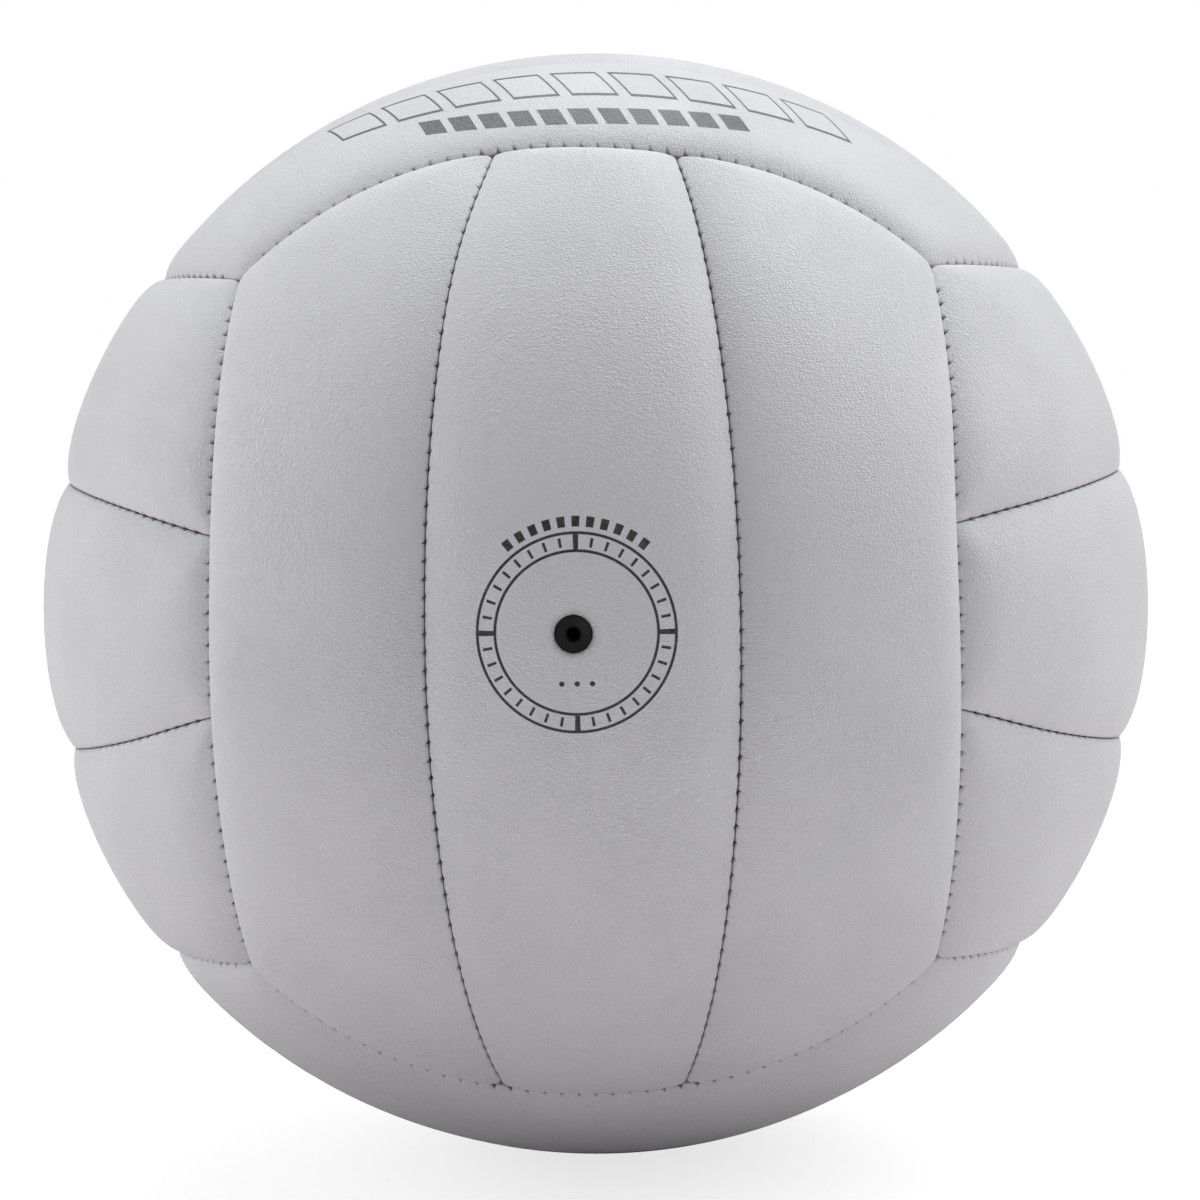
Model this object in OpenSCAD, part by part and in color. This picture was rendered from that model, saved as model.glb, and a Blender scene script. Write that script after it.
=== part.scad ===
// Stitched indoor volleyball: eighteen padded panels in six groups of three strips, round a rubber bladder.
// The origin is the ball's centre, the valve faces -Y, and +Z is up.

/* [Ball] */
// Diameter of the blown-up ball over the crowns of its panels
ball_d = 210; // [190:1:230]
// Lean of the seams round each group of three, in degrees
border_tilt = 7.45; // [4:0.05:11]
// Lean of the two seams inside each group, in degrees
strip_tilt = 14.25; // [12:0.25:17]

/* [Cover] */
// Thickness of the synthetic leather
skin_t = 1.2; // [0.8:0.1:1.8]
// Thickness of the foam backing
foam_t = 2.8; // [2:0.1:4]
// Thickness of the cloth lining
lining_t = 0.6; // [0.4:0.1:1]
// Depth of the valley over a seam, below the crowns
seam_depth = 2.2; // [1.4:0.1:2.8]
// Distance from a seam at which a panel starts to round over
edge_run = 6; // [5:0.25:8]

/* [Stitching] */
// Thickness of the thread
thread_d = 0.6; // [0.4:0.05:0.8]
// Distance from one stitch to the next
stitch_pitch = 3; // [2.5:0.25:5]
// Depth of the stitches below the crowns
stitch_depth = 3.9; // [3.6:0.1:4.2]
// Bare end of each row of stitches, short of the corner
row_end = 4; // [3.5:0.5:8]

/* [Bladder and valve] */
// Thickness of the bladder
bladder_t = 0.9; // [0.6:0.1:1.5]
// Sideways place of the valve on its panel
valve_x = -1.3; // [-3:0.1:3]
// Diameter of the valve's face, which shows in the leather's hole
face_d = 5.6; // [4.6:0.1:7]
// Depth of the valve's face below the crowns
face_depth = 0.7; // [0.3:0.1:1.2]
// Needle hole in the valve
needle_d = 2; // [1.5:0.1:2.4]
// Depth of the needle hole's wider mouth
mouth_l = 0.8; // [0.4:0.1:1.2]
// Closed slit beyond the needle hole
slit_l = 3.5; // [2:0.5:5]
// Step from the valve's face out to its self-sealing core
core_step = 0.5; // [0.3:0.1:1]
// Wall of the housing round the core
housing_wall = 2.2; // [1.6:0.1:3]
// Length of the housing's stem inside the bladder
stem_l = 10; // [8:0.5:14]
// Reach of the housing's flange, which is bonded under the bladder
flange_w = 9.5; // [6:0.5:12]
// Thickness of the housing's flange
flange_t = 1.6; // [1:0.1:2.4]
// Reach of the cloth patch round the valve
patch_w = 7.5; // [5:0.5:10]
// Reach of the core's foot, which holds it in the housing
foot_w = 1.5; // [1:0.1:2]
// Thickness of the core's foot
foot_t = 2.4; // [1.6:0.2:4]

/* [Fits] */
// Gap between the turned-in edges of two panels
seam_gap = 0.2; // [0.1:0.05:0.3]
// Gap between one layer and the next
layer_gap = 0.2; // [0.1:0.05:0.3]
// Gap round a thread
thread_gap = 0.1; // [0.05:0.05:0.15]
// Gap round the valve's face in the leather
face_gap = 0.2; // [0.1:0.05:0.4]
// Gap between the core and its housing
core_gap = 0.05; // [0:0.05:0.1]

/* [Hidden] */
$fn = 96;

// Radii of the layers
ball_r = ball_d / 2;
foam_r = ball_r - skin_t - layer_gap;
lining_r = foam_r - foam_t - layer_gap;
cover_in_r = lining_r - lining_t;
bladder_r = cover_in_r - layer_gap;
flange_r = bladder_r - bladder_t - layer_gap;
stitch_r = ball_r - stitch_depth;

// A cut that has to pass clean through a surface runs on by this much
overrun = 0.5;

// Latitude of a border seam about its own axis: three of these seams meet over each corner of a cube
border_lat = asin((cos(border_tilt) - sin(border_tilt)) / sqrt(3));
// Half the turn that a border seam spans about its axis, from corner to corner
border_half = asin(1 / (sqrt(3) * cos(border_lat)));
// Half the turn that a strip seam spans, from one border seam to the opposite one
strip_half = acos(sin(border_lat) / norm([cos(strip_tilt) * cos(border_tilt), sin(border_tilt)]))
    - atan2(sin(border_tilt), cos(strip_tilt) * cos(border_tilt));
// Turn along a border seam from its middle to where a strip seam of the next group meets it
join_across = cos(border_lat) * norm([cos(strip_tilt), sin(strip_tilt) * sin(border_tilt)]);
join_turn = asin(sin(border_lat) * sin(strip_tilt) * cos(border_tilt) / join_across)
    + atan2(sin(strip_tilt) * sin(border_tilt), cos(strip_tilt));

// A panel's edge is rounded by an arc that touches the ball edge_run from the seam and dips by seam_depth
// at it. In the half-plane through the edge's axis, with X towards the seam, the arc has this radius
// and middle.
function turn_of(length, r) = length / r * 180 / PI;
run_turn = turn_of(edge_run, ball_r);
seam_r = ball_r - seam_depth;
edge_chord = norm([ball_r * cos(run_turn) - seam_r, ball_r * sin(run_turn)]);
edge_r = edge_chord ^ 2 / (2 * (ball_r - seam_r * cos(run_turn)));
edge_mid = (ball_r - edge_r) * [cos(run_turn), sin(run_turn)];
// The arc is made of this many bands, each a strip of a sphere centred on the edge's axis
bands = 3;
// Point on the arc after a share of it, counted from the seam
seam_turn = -asin(edge_mid[1] / edge_r);
function arc_turn(share) = seam_turn + (run_turn - seam_turn) * share;
function arc_point(share) = edge_mid + edge_r * [cos(arc_turn(share)), sin(arc_turn(share))];
// Turns a point of a half-plane
function turned(p, angle) = [p[0] * cos(angle) - p[1] * sin(angle), p[0] * sin(angle) + p[1] * cos(angle)];

// Distances from a seam's middle
flange_in = seam_gap / 2 + skin_t;
bar_end = flange_in + thread_gap;
strand_at = bar_end + thread_gap + thread_d / 2;
foam_at = bar_end + 2 * thread_gap + thread_d;

// A panel's edge: [turn of its axis in the group's frame, latitude of its seam, turn to the seam's middle].
// A group's frame has Z out of the ball, Y along the strips and X across them.
strip_seam = [[0, strip_tilt - 90, 0], 0, 0];
border_seam = [[0, border_tilt - 90, 0], -border_lat, 0];
strip_ends = [for (s = [-1, 1]) [[s * border_tilt, 0, 0], border_lat, s * 90]];
centre_edges = concat([strip_seam, [[0, 90 - strip_tilt, 0], 0, 180]], strip_ends);
side_edges = concat([[[0, strip_tilt + 90, 0], 0, 180], border_seam], strip_ends);

// The panel's side of an edge plane, which cuts the ball along the bottom of the seam's valley
module beside(edge, inset) {
    height = seam_r * sin(edge[1]) + inset;
    rotate(edge[0]) translate([-ball_d, -ball_d, height]) cube(2 * ball_d);
}

// Sphere whose surface is one band of an edge's rounding, for a layer at the given depth
module band(edge, depth, i) {
    a = turned(arc_point(i / bands), edge[1]);
    b = turned(arc_point((i + 1) / bands), edge[1]);
    height = (a[1] + b[1]) / 2 + (a[0] + b[0]) / 2 * (b[0] - a[0]) / (b[1] - a[1]);
    rotate(edge[0]) rotate([0, 0, edge[2] + 180]) translate([0, 0, height])
        sphere(norm(a - [0, height]) - depth);
}

// Layer of the ball between two radii
module layer(out_r, in_r) {
    rotate([0, 90, 0]) difference() {
        sphere(out_r);
        sphere(in_r);
    }
}

// Space of a panel from the given depth down to in_r, set in from its seams and rounded over along them
module panel_space(edges, depth, inset, in_r) {
    intersection() {
        layer(ball_r - depth, in_r);
        intersection_for (edge = edges) beside(edge, inset);
        intersection_for (edge = edges, i = [0 : bands - 1]) band(edge, depth, i);
    }
}

// Foam pad inside the tray
module foam(edges) {
    color("lightgray") panel_space(edges, ball_r - foam_r, foam_at, foam_r - foam_t);
}

// Cloth inside the foam
module lining(edges) {
    color("ivory") intersection() {
        layer(lining_r, cover_in_r);
        intersection_for (edge = edges) beside(edge, foam_at);
    }
}

// Rows of stitches in a seam, each [first turn, last turn] from the seam's middle
border_height = seam_r * sin(border_lat);
border_ring = sqrt(stitch_r ^ 2 - border_height ^ 2);
end_turn = strip_half - turn_of(row_end, stitch_r);
join_end = turn_of(row_end, border_ring);
strip_rows = [[-end_turn, end_turn]];
middle_row = [join_end - join_turn, join_turn - join_end];
near_row = [join_turn + join_end, border_half - join_end];
far_row = [-near_row[1], -near_row[0]];
border_rows = [far_row, middle_row, near_row];

// Turns of the stitches in one row, on a ring of the given radius
function stitches(row, ring) =
    let (step = turn_of(stitch_pitch, ring), gaps = floor((row[1] - row[0]) / step))
    [for (i = [0 : gaps]) (row[0] + row[1]) / 2 + (i - gaps / 2) * step];

// Bars through both turned-in edges of a seam, one at each stitch
module bars(edge, rows, d, reach) {
    height = seam_r * sin(edge[1]);
    ring = sqrt(stitch_r ^ 2 - height ^ 2);
    rotate(edge[0]) for (row = rows, turn = stitches(row, ring)) rotate([0, 0, edge[2] + turn])
        translate([ring, 0, height]) cylinder(h = 2 * reach, d = d, center = true, $fn = 24);
}

// Running threads of a seam, one along each side of the turned-in edges
module strands(edge, rows) {
    height = seam_r * sin(edge[1]);
    ring = sqrt(stitch_r ^ 2 - height ^ 2);
    rotate(edge[0]) for (row = rows, side = [-1, 1]) rotate([0, 0, edge[2] + row[0]])
        rotate_extrude(angle = row[1] - row[0])
            translate([ring, height + side * strand_at]) circle(d = thread_d, $fn = 24);
}

// Thread of the same seam on both sides of a group
module seam_thread(edge, rows) {
    color("gainsboro") for (half = [0, 180]) rotate([0, 0, half]) {
        strands(edge, rows);
        bars(edge, rows, thread_d, bar_end);
    }
}

// Needle holes through the turned-in edges of a panel
module stitch_holes(edges, rows) {
    for (i = [0 : 3]) bars(edges[i], rows[i], thread_d + 2 * thread_gap, flange_in + overrun);
}

// Leather of one panel: a shallow tray whose four turned-in edges are pierced for the thread
module leather(edges, rows) {
    color("whitesmoke") difference() {
        panel_space(edges, 0, seam_gap / 2, cover_in_r);
        panel_space(edges, skin_t, flange_in, cover_in_r - overrun);
        stitch_holes(edges, rows);
    }
}

// Strips of a group, in its own frame
centre_holes = [strip_rows, strip_rows, [middle_row], [middle_row]];
side_holes = [strip_rows, border_rows, [near_row], [far_row]];
module centre_leather() leather(centre_edges, centre_holes);
module side_leather() leather(side_edges, side_holes);
module group_lining() {
    lining(centre_edges);
    for (half = [0, 180]) rotate([0, 0, half]) lining(side_edges);
}

// Places a group, or one strip of it: a turn of 180 puts a side strip on the group's other side
module front(half = 0) rotate([90, 0, 0]) rotate([0, 0, half]) children();
module back(half = 0) rotate([-90, 0, 0]) rotate([0, 0, half]) children();
module left(half = 0) rotate([0, -90, 0]) rotate([0, 0, half]) children();
module right(half = 0) rotate([0, 90, 0]) rotate([0, 0, half]) children();
module top(half = 0) rotate([0, 0, 90 + half]) children();
module bottom(half = 0) rotate([180, 0, 90]) rotate([0, 0, half]) children();

// Sizes of the valve
face_hole_d = face_d + 2 * face_gap;
core_d = face_d + 2 * core_step;
core_hole_d = core_d + 2 * core_gap;
housing_d = core_hole_d + 2 * housing_wall;
housing_hole_d = housing_d + 2 * layer_gap;
flange_d = housing_d + 2 * flange_w;
patch_d = housing_d + 2 * patch_w;
foot_d = core_d + 2 * foot_w;
mouth_d = needle_d + mouth_l;
// Heights along the valve, out from the ball's middle
face_at = ball_r - face_depth;
shoulder_at = sqrt(foam_r ^ 2 - (housing_d / 2 + abs(valve_x)) ^ 2);
stem_at = flange_r - flange_t - stem_l;
foot_at = stem_at - layer_gap - foot_t;
needle_at = foot_at + slit_l;

// Round post or hole along the valve's axis
module post(d, from, to) {
    front() translate([valve_x, 0, from]) cylinder(h = to - from, d = d);
}

module front_centre_panel() {
    color("whitesmoke") difference() {
        front() centre_leather();
        post(face_hole_d, stem_at, ball_r + overrun);
    }
}

module front_centre_foam() {
    color("lightgray") difference() {
        front() foam(centre_edges);
        post(housing_hole_d, stem_at, ball_r);
    }
}

module front_lining() {
    color("ivory") difference() {
        front() group_lining();
        post(patch_d + 2 * layer_gap, stem_at, ball_r);
    }
}

// Cloth ring that stiffens the cover round the valve, in the lining's own layer
module valve_patch() {
    color("silver") difference() {
        intersection() {
            layer(lining_r, cover_in_r);
            post(patch_d, stem_at, ball_r);
        }
        post(housing_hole_d, stem_at, ball_r);
    }
}

module bladder() {
    color("dimgray") difference() {
        layer(bladder_r, bladder_r - bladder_t);
        post(housing_hole_d, stem_at, ball_r);
    }
}

// Rubber housing: a flange under the bladder and a stem through it
module valve_housing() {
    color("darkslategray") difference() {
        union() {
            intersection() {
                layer(flange_r, flange_r - flange_t);
                post(flange_d, stem_at, ball_r);
            }
            post(housing_d, stem_at, shoulder_at);
        }
        post(core_hole_d, stem_at - overrun, ball_r);
    }
}

// Self-sealing rubber core with the needle hole
module valve_core() {
    color("black") difference() {
        union() {
            post(foot_d, foot_at, foot_at + foot_t);
            post(core_d, foot_at, shoulder_at);
            post(face_d, foot_at, face_at);
        }
        post(needle_d, needle_at, ball_r);
        front() translate([valve_x, 0, face_at - mouth_l])
            cylinder(h = 2 * mouth_l, d1 = needle_d, d2 = 2 * mouth_d - needle_d);
    }
}

front(180) side_leather();  // front_left_panel
front_centre_panel();
front() side_leather();  // front_right_panel
back(180) side_leather();  // back_left_panel
back() centre_leather();  // back_centre_panel
back() side_leather();  // back_right_panel
left(180) side_leather();  // left_lower_panel
left() centre_leather();  // left_centre_panel
left() side_leather();  // left_upper_panel
right(180) side_leather();  // right_upper_panel
right() centre_leather();  // right_centre_panel
right() side_leather();  // right_lower_panel
top(180) side_leather();  // top_front_panel
top() centre_leather();  // top_centre_panel
top() side_leather();  // top_rear_panel
bottom(180) side_leather();  // bottom_front_panel
bottom() centre_leather();  // bottom_centre_panel
bottom() side_leather();  // bottom_rear_panel
front(180) foam(side_edges);  // front_left_foam
front_centre_foam();
front() foam(side_edges);  // front_right_foam
back(180) foam(side_edges);  // back_left_foam
back() foam(centre_edges);  // back_centre_foam
back() foam(side_edges);  // back_right_foam
left(180) foam(side_edges);  // left_lower_foam
left() foam(centre_edges);  // left_centre_foam
left() foam(side_edges);  // left_upper_foam
right(180) foam(side_edges);  // right_upper_foam
right() foam(centre_edges);  // right_centre_foam
right() foam(side_edges);  // right_lower_foam
top(180) foam(side_edges);  // top_front_foam
top() foam(centre_edges);  // top_centre_foam
top() foam(side_edges);  // top_rear_foam
bottom(180) foam(side_edges);  // bottom_front_foam
bottom() foam(centre_edges);  // bottom_centre_foam
bottom() foam(side_edges);  // bottom_rear_foam
front_lining();
back() group_lining();  // back_lining
left() group_lining();  // left_lining
right() group_lining();  // right_lining
top() group_lining();  // top_lining
bottom() group_lining();  // bottom_lining
front() seam_thread(strip_seam, strip_rows);  // front_strip_thread
back() seam_thread(strip_seam, strip_rows);  // back_strip_thread
left() seam_thread(strip_seam, strip_rows);  // left_strip_thread
right() seam_thread(strip_seam, strip_rows);  // right_strip_thread
top() seam_thread(strip_seam, strip_rows);  // top_strip_thread
bottom() seam_thread(strip_seam, strip_rows);  // bottom_strip_thread
front() seam_thread(border_seam, border_rows);  // front_border_thread
back() seam_thread(border_seam, border_rows);  // back_border_thread
left() seam_thread(border_seam, border_rows);  // left_border_thread
right() seam_thread(border_seam, border_rows);  // right_border_thread
top() seam_thread(border_seam, border_rows);  // top_border_thread
bottom() seam_thread(border_seam, border_rows);  // bottom_border_thread
bladder();
valve_housing();
valve_core();
valve_patch();
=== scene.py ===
"""Looks of a stitched volleyball, built round its packed solids.

Eighteen padded panels lie in six groups of three strips. A group's own frame has Z out of the ball,
Y along its strips and X across them. Lengths are in metres and angles in radians.
"""

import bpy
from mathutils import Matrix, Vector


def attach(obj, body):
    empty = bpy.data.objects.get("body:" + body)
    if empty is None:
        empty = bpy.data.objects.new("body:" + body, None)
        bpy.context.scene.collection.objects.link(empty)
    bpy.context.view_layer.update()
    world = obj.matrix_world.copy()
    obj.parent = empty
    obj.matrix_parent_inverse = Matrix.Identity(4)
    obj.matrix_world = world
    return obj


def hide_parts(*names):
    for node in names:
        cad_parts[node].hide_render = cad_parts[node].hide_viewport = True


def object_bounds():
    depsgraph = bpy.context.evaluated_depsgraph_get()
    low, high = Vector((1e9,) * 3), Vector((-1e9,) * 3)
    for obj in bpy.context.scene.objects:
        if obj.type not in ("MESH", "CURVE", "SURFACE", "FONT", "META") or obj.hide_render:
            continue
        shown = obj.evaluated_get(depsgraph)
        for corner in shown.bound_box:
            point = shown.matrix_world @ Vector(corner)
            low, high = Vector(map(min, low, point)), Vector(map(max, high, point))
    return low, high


bl_info = {
    "name": "Volleyball",
    "version": (1, 0, 0),
    "blender": (4, 5, 0),
    "location": "View3D > Sidebar > Volleyball",
    "description": "Builds the panels, padding, seams, valve and stage of a stitched volleyball",
    "category": "Object",
}

from math import acos, asin, atan2, ceil, cos, radians, sin, sqrt, tau
from types import SimpleNamespace
from typing import NamedTuple

import bpy
import numpy as np
from bpy.props import FloatProperty, FloatVectorProperty, IntProperty, PointerProperty
from mathutils import Matrix, Vector
from mathutils.geometry import delaunay_2d_cdt

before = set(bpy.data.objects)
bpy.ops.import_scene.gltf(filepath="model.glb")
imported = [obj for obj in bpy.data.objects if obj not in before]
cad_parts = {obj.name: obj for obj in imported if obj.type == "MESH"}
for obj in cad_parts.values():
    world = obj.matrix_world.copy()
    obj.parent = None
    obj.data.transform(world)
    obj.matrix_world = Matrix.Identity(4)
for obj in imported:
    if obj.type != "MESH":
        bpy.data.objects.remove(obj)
CAD_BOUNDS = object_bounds()
BALL_RADIUS = (CAD_BOUNDS[1].z - CAD_BOUNDS[0].z) / 2
MM = 0.001

# How each group's own frame is turned: what its X, Y and Z become
GROUPS = {
    "front": ((1, 0, 0), (0, 0, 1), (0, -1, 0)),
    "back": ((1, 0, 0), (0, 0, -1), (0, 1, 0)),
    "left": ((0, 0, 1), (0, 1, 0), (-1, 0, 0)),
    "right": ((0, 0, -1), (0, 1, 0), (1, 0, 0)),
    "top": ((0, 1, 0), (-1, 0, 0), (0, 0, 1)),
    "bottom": ((0, 1, 0), (1, 0, 0), (0, 0, -1)),
}
# Names of the strips at a group's -X side and +X side
SIDES = {
    "front": ("left", "right"),
    "back": ("left", "right"),
    "left": ("lower", "upper"),
    "right": ("upper", "lower"),
    "top": ("front", "rear"),
    "bottom": ("front", "rear"),
}
# The strip that holds the valve
VALVE_STRIP = "front_centre"
# What an edge's crispness does: share of the valley's depth, share of its width, strength of the nicks
CRISPNESS = {0.0: (1.0, 1.15, 1.0), 0.5: (0.95, 1.6, 0.52), 1.0: (0.75, 0.8, 0.25)}
# Where the sewing drew a seam down more or less: place on the ball, change of the depth's share, reach
SAGS = (
    ((0.26, -0.86, 0.44), 0.35, 0.25),
    ((0.27, -0.96, 0.05), 0.35, 0.3),
    ((-0.3, -0.95, 0.03), 0.35, 0.3),
    ((-0.2, -0.78, 0.6), -0.5, 0.25),
    ((0.65, -0.76, 0.02), 0.35, 0.25),
    ((0.25, -0.75, -0.62), -0.35, 0.3),
    ((-0.22, -0.78, -0.6), -0.35, 0.3),
)
# Where seams were sewn off their line: place on the ball, slip in millimetres
SLIPS = (
    ((0.03, -0.63, 0.775), (-0.8, -1.6, -1.4)),
    ((-0.15, -0.63, 0.76), (1.0, -0.45, -0.25)),
    ((0.15, -0.63, 0.76), (0.6, -0.45, -0.4)),
    ((0.56, -0.605, 0.565), (0.1, 1.1, 1.05)),
    ((0.59, -0.795, -0.145), (-0.3, -0.45, 1.3)),
    ((-0.59, -0.795, -0.15), (0.0, -0.25, 1.4)),
    ((0.595, -0.79, 0.155), (-0.85, -0.5, 0.35)),
    ((0.01, -0.64, -0.77), (0.0, -0.85, 0.7)),
    ((-0.59, -0.79, 0.155), (0.4, -0.3, -0.45)),
)
SLIP_REACH = 0.2
# How the leather falls towards the valve's hole, in two steps: depth and run
HOLE_FALLS = ((0.28 * MM, 0.12 * MM), (0.3 * MM, 1.3 * MM))
# Where a leather panel has points along a seam, in millimetres from each stitch
STITCH_POINTS = (0, 0.16, 0.36, 0.62, 1.0, 1.5, 2.0, 2.38, 2.64, 2.84)
# Where it has loops of points in from the seam, in millimetres: with all of the outline's points, with
# every second one, and with every fifth
LOOP_INSETS = {1: (0.07, 0.16, 0.28, 0.44, 0.66, 0.95), 2: (1.3, 1.75, 2.3, 3.0, 3.8), 5: (4.9, 6.3, 8.2)}
# Where a hole has loops of points round it, in millimetres from its edge, and how many points each has
HOLE_LOOPS = (0, 0.06, 0.16, 0.32, 0.6, 1.1, 2)
HOLE_POINTS = 72
# Least distance of a seam's points from its rounded ends
END_GAP = 0.12 * MM
# Soft lamps of the room: height and turn from straight behind the ball, in degrees, and strength
SOFT_LAMPS = (
    (5, -120, 0.3),
    (5, -80, 1.3),
    (5, 80, 1.1),
    (32, -80, 1.8),
    (35, 80, 1.0),
    (50, 80, 0.9),
    (65, 30, 0.8),
    (65, 90, 0.5),
    (70, -40, 0.55),
    (70, 0, 0.65),
    (70, 40, 1.2),
    (90, 0, 0.5),
)
# Cosine of the angle at which a lamp has faded out
LAMP_EDGE = 0.8
# Width in pixels of the picture in which the ball's place is given
PICTURE_WIDTH = 1200


def number(name, description, default, least=0, **more):
    return FloatProperty(name=name, description=description, default=default, min=least, **more)


def length(name, description, default, least=0):
    return number(name, description, default, least, unit="LENGTH", precision=5)


def angle(name, description, degrees):
    return FloatProperty(name=name, description=description, default=radians(degrees), subtype="ANGLE")


def share(name, description, default):
    return number(name, description, default, max=1, subtype="FACTOR")


def colour(name, description, default):
    return FloatVectorProperty(
        name=name, description=description, default=default, subtype="COLOR", size=3, min=0, max=1
    )


class BallShape(bpy.types.PropertyGroup):
    """Sizes of the cover"""

    radius: length("Radius", "Radius of the ball over its crowns", BALL_RADIUS)
    border_lean: angle("Border lean", "Lean of the seams round a group", 7.45)
    strip_lean: angle("Strip lean", "Lean of the seams inside a group", 14.25)
    valley: length("Valley", "Depth to which a panel falls towards a seam that shows its stitches", 2.0 * MM)
    valley_run: length("Valley run", "Distance over which the valley fades", 2.9 * MM)
    crown: length("Crown", "Rise of a panel's middle over its edges", 0.4 * MM)
    crown_run: length("Crown run", "Distance over which the crown rises", 9 * MM)
    lip: length("Lip", "Extra fall at the turned-in edge", 0.4 * MM)
    lip_run: length("Lip run", "Distance over which the lip rounds", 0.13 * MM)
    corner: length("Corner", "Rounding where three groups meet", 3.6 * MM)
    joint: length("Joint", "Rounding where a strip seam meets a border, more than the fold", 0.95 * MM)
    skin: length("Skin", "Thickness of the leather", 1.2 * MM)
    fold: length("Fold", "Thickness of the leather at its turned-in edge", 0.85 * MM)
    padding: length("Padding", "Thickness of the foam", 2.8 * MM)
    lining: length("Lining", "Thickness of the cloth lining", 0.6 * MM)
    layer_gap: length("Layer gap", "Gap between one layer and the next", 0.2 * MM)
    seam_gap: length("Seam gap", "Gap between two turned-in edges", 0.06 * MM)
    edge_depth: length("Edge depth", "Depth of a turned-in edge below the crowns", 5 * MM)
    pad_inset: length("Pad inset", "Distance from a seam to the foam", 2.4 * MM)


class Sewing(bpy.types.PropertyGroup):
    """Sizes of the stitches"""

    pitch: length("Pitch", "Distance from one stitch to the next", 3 * MM)
    hole_depth: length("Hole depth", "Depth of the nick that a stitch pulls", 1.3 * MM)
    hole_width: length("Hole width", "Half the width of a nick along the seam", 0.6 * MM)
    hole_reach: length("Hole reach", "Reach of a nick into the panel", 1.15 * MM)
    slant: number("Slant", "Lean of the nicks and wrinkles", 0.55)
    opening: length("Opening", "How far a nick pulls the two edges apart, each", 0.2 * MM)
    pucker: length("Pucker", "Height of the wrinkles beside a seam", 0.05 * MM)
    pucker_reach: length("Pucker reach", "Distance over which the wrinkles fade", 2.6 * MM)
    thread: length("Thread", "Thickness of the thread", 0.5 * MM)
    thread_depth: length("Thread depth", "Depth of the thread below the crowns", 4.0 * MM)
    row_end: length("Row end", "Bare end of a row of stitches", 1.8 * MM)
    seed: IntProperty(name="Seed", description="Picks another set of wrinkles", default=7, min=0)


class LeatherLook(bpy.types.PropertyGroup):
    """Finish of the leather"""

    white: colour("White", "Colour of the leather", (0.79, 0.80, 0.83))
    shade: colour("Shade", "Colour of its darker mottling", (0.755, 0.76, 0.787))
    # The crease colour is painted shade in the hollows between the pebbles of the grain
    crease_shade: colour("Crease", "Colour between the pebbles of its grain", (0.66, 0.66, 0.685))
    # The grime colour darkens the nicks and the seams' lines: partly dirt, partly painted shade
    grime_and_shade: colour("Grime", "Colour of the dirt deep in the seams", (0.12, 0.115, 0.12))
    ink: colour("Ink", "Colour of the marks round the valve", (0.013, 0.012, 0.012))
    grey_ink: colour("Grey ink", "Colour of the marks on the top", (0.10, 0.105, 0.11))
    grain: length("Grain", "Size of a pebble of the grain", 0.5 * MM)
    grain_height: length("Grain height", "Height of the grain", 0.12 * MM)
    roughness: share("Roughness", "Roughness of the leather", 0.42)


class ValveLook(bpy.types.PropertyGroup):
    """Place and finish of the valve"""

    offset: length("Offset", "Sideways place of the valve", -1.3 * MM, least=-1)
    hole: length("Hole", "Radius of the hole in the leather", 3 * MM)
    foam_hole: length("Foam hole", "Radius of the hole in the foam", 5.9 * MM)
    lining_hole: length("Lining hole", "Radius of the hole in the lining", 13.8 * MM)
    rubber: colour("Rubber", "Colour of the rubber", (0.007, 0.0072, 0.0075))
    ring_x: length("Ring X", "Sideways place of the rings", -0.8 * MM, least=-1)
    ring_z: length("Ring Z", "Height of the rings", 0.2 * MM, least=-1)
    outer_ring: length("Outer ring", "Radius of the outer printed ring", 15.6 * MM)
    inner_ring: length("Inner ring", "Radius of the inner printed ring", 12.8 * MM)
    line: length("Line", "Thickness of the printed lines", 0.46 * MM)


class StageLook(bpy.types.PropertyGroup):
    """Camera, floor and light"""

    distance: length("Distance", "Distance from the camera to the ball's middle", 0.538)
    lens: number("Lens", "Focal length in millimetres", 83.364, least=1)
    pitch: angle("Pitch", "Height angle of the camera", 2.5)
    roll: angle("Roll", "Lean of the ball in the picture", -0.68)
    turn: angle("Turn", "Turn of the ball", -1.24)
    left: number("Left", "How far the ball's middle is left of the picture's, in pixels", 4.0)
    low: number("Low", "How far the ball's middle is below the picture's, in pixels", 4.7)
    lamps: number("Lamps", "Strength of the soft lamps", 0.99)
    floor: share("Floor", "Paleness of the floor", 0.7)
    veil: share("Veil", "Share of plain white in the floor's look", 0.3)
    glow: number("Glow", "Strength of that white", 2.5)


def one_sum(operation, swapped=False):
    """A method of Flow that stands for one Math node."""

    def method(self, *others):
        return self.maths(operation, *((*others, self) if swapped else (self, *others)))

    return method


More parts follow.
